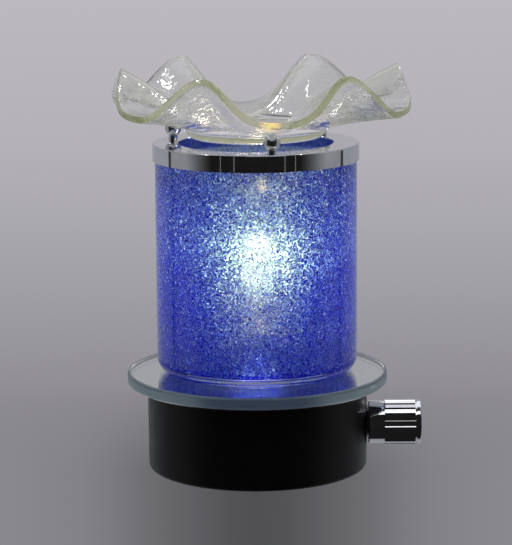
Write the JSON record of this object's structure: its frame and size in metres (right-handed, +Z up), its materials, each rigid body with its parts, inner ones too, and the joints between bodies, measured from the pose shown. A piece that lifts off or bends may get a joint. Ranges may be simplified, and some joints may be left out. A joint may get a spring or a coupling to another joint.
{
  "type": "electric oil warmer",
  "caption": "Plug-in electric oil warmer: fluted glass dish on ball posts over a blue glitter glass shade, mirror disc and dimmable round base.",
  "frame": {"origin": "centre of the plug face that rests on the wall plate, on the axis on which the plug swivels", "axes": "+Y into the wall, out of the plug face; +Z up, along the lamp, shade and dish; +X towards the dimmer knob"},
  "size_m": [0.1257, 0.1444, 0.1645],
  "materials": {
    "black_abs": "satin moulded ABS",
    "steel": "zinc plated",
    "foam_pad": "matt foam rubber",
    "silvering": "silvered",
    "mirror_glass": "polished edge",
    "pressed_aluminium": "pressed",
    "ceramic": "unglazed steatite ceramic",
    "contact_brass": "plain",
    "zinc_steel": "zinc plated",
    "board_laminate": "solder mask",
    "copper_wire": "enamelled copper",
    "film_capacitor": "epoxy dipped",
    "black_epoxy": "moulded",
    "resistor_body": "lacquered",
    "fuse_glass": "clear",
    "phenolic": "moulded phenolic",
    "lead_insulation": "silicone sleeve",
    "blade_brass": "nickel free plain brass",
    "knob_chrome": "polished",
    "reflector_glass": "facetted reflector",
    "lens_glass": "clear",
    "capsule_glass": "quartz, lit",
    "shade_glass": "clear blown",
    "blue_glitter": "blue glitter lacquer",
    "ring_chrome": "polished",
    "dish_glass": "clear slumped, fire polished"
  },
  "bodies": {
    "base": {"housing": "black_abs", "bottom_cover": "black_abs", "cover_screws": "steel", "mirror_pad": "foam_pad", "mirror_backing": "silvering", "mirror_disc": "mirror_glass", "clamp_collar": "pressed_aluminium", "collar_screws": "steel", "lampholder": "ceramic", "holder_base": "ceramic", "socket_contacts": "contact_brass", "holder_bracket": "zinc_steel", "holder_screws": "steel", "bracket_screws": "steel", "circuit_board": "board_laminate", "board_screws": "steel", "choke": "copper_wire", "capacitor": "film_capacitor", "triac": "black_epoxy", "resistors": "resistor_body", "fuse": "fuse_glass", "dimmer_case": "zinc_steel", "dimmer_pins": "contact_brass", "dimmer_bush": "contact_brass", "dimmer_washer": "zinc_steel", "dimmer_nut": "zinc_steel", "brush_block": "phenolic", "brushes": "contact_brass", "lamp_leads": "lead_insulation", "supply_leads": "lead_insulation"},
    "plug": {"plug_turret": "black_abs", "plug_blades": "blade_brass", "slip_rings": "contact_brass", "turret_keeper": "phenolic", "keeper_screws": "steel"},
    "knob": {"dimmer_shaft": "contact_brass", "knob_insert": "black_epoxy", "dimmer_knob": "knob_chrome"},
    "bulb": {"bulb_base": "ceramic", "bulb_pins": "zinc_steel", "bulb_reflector": "reflector_glass", "bulb_lens": "lens_glass", "bulb_capsule": "capsule_glass"},
    "shade": {"shade_glass": "shade_glass", "glitter_lining": "blue_glitter", "top_ring": "ring_chrome", "ball_posts": "ring_chrome"},
    "dish": {"glass_dish": "dish_glass"}
  },
  "joints": [
    {"name": "plug_swivel", "type": "hinge", "parent": "base", "child": "plug", "pos_m": [0, -0.007, 0], "axis": [0, 1, 0], "range_deg": [0, 90]},
    {"name": "knob_turn", "type": "hinge", "parent": "base", "child": "knob", "pos_m": [0.056, -0.067, 0], "axis": [1, 0, 0], "range_deg": [0, 280]},
    {"name": "bulb_twist", "type": "hinge", "parent": "base", "child": "bulb", "pos_m": [0, -0.067, 0.0207], "axis": [0, 0, 1], "range_deg": [0, 20]},
    {"name": "shade_lift", "type": "slide", "parent": "base", "child": "shade", "axis": [0, 0, 1], "range_m": [0, 0.06]},
    {"name": "dish_lift", "type": "slide", "parent": "shade", "child": "dish", "axis": [0, 0, 1], "range_m": [0, 0.04]}
  ]
}
